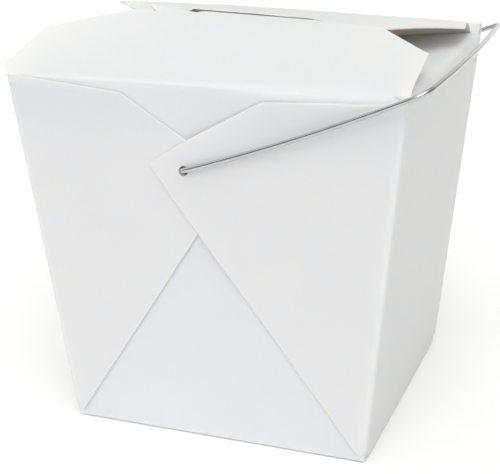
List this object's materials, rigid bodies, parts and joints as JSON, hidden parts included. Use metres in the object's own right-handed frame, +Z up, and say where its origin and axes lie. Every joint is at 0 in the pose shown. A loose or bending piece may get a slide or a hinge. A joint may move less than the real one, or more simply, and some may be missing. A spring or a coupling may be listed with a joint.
{
  "type": "takeaway food pail",
  "caption": "Shut takeaway food pail of white folded paperboard, tapered, with interlocked top flaps and a swinging wire bail handle.",
  "frame": {"origin": "centre of the flat base, where the pail rests", "axes": "+Z up; -Y is the front wall with the lid's fold and the overlapped gussets; +X is the plain wall that the bail leans over"},
  "size_m": [0.1201, 0.0976, 0.1182],
  "materials": {
    "paperboard": "white paperboard with a thin semi-matt coating",
    "galvanised_wire": "bright zinc-coated steel wire"
  },
  "bodies": {
    "carton": {"carton": "paperboard"},
    "bail": {"wire_handle": "galvanised_wire"}
  },
  "joints": [
    {"name": "bail_swing", "type": "hinge", "parent": "carton", "child": "bail", "pos_m": [-0.0043, 0, 0.082], "axis": [0, -1, 0], "range_deg": [-60, 210]}
  ]
}
